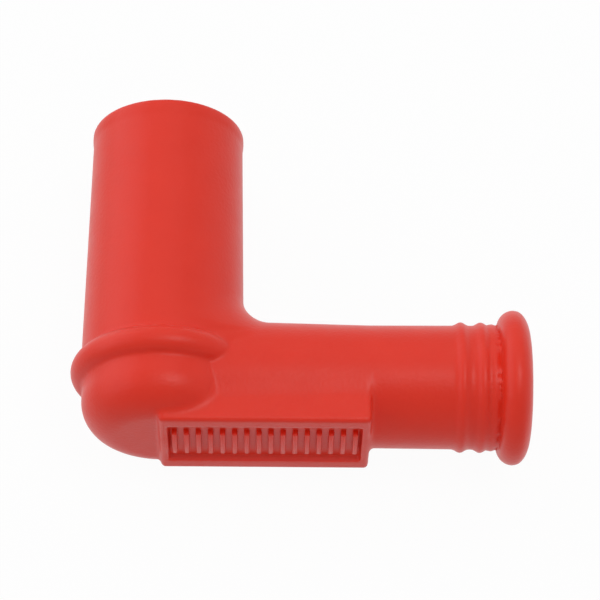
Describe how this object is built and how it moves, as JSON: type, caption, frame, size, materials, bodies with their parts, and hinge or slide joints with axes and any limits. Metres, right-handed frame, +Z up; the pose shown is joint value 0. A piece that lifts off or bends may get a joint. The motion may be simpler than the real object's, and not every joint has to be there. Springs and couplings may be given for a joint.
{
  "type": "spark plug cap",
  "caption": "Right-angle spark plug cap: red silicone boot with pull-off ring, ribbed lead leg and end bead, over an insulated core with plug socket, resistor and lead screw.",
  "frame": {"origin": "on the surface that the cap lies on, under the middle of its box", "axes": "+X along the lead leg towards its beaded mouth, +Y along the plug barrel towards its mouth, +Z up; both bores are level"},
  "size_m": [0.0524, 0.042, 0.021],
  "materials": {
    "boot_silicone": "satin",
    "core_phenolic": "satin",
    "socket_brass": "satin",
    "spring_steel": "satin",
    "resistor_ceramic": "matte",
    "resistor_cap_plating": "satin",
    "screw_brass": "satin"
  },
  "bodies": {
    "root": {"boot": "boot_silicone", "insulator_core": "core_phenolic", "plug_socket": "socket_brass", "socket_clip_ring": "spring_steel", "resistor_rod": "resistor_ceramic", "resistor_cap_inner": "resistor_cap_plating", "resistor_cap_outer": "resistor_cap_plating", "contact_spring": "spring_steel", "lead_screw": "screw_brass"}
  },
  "joints": []
}
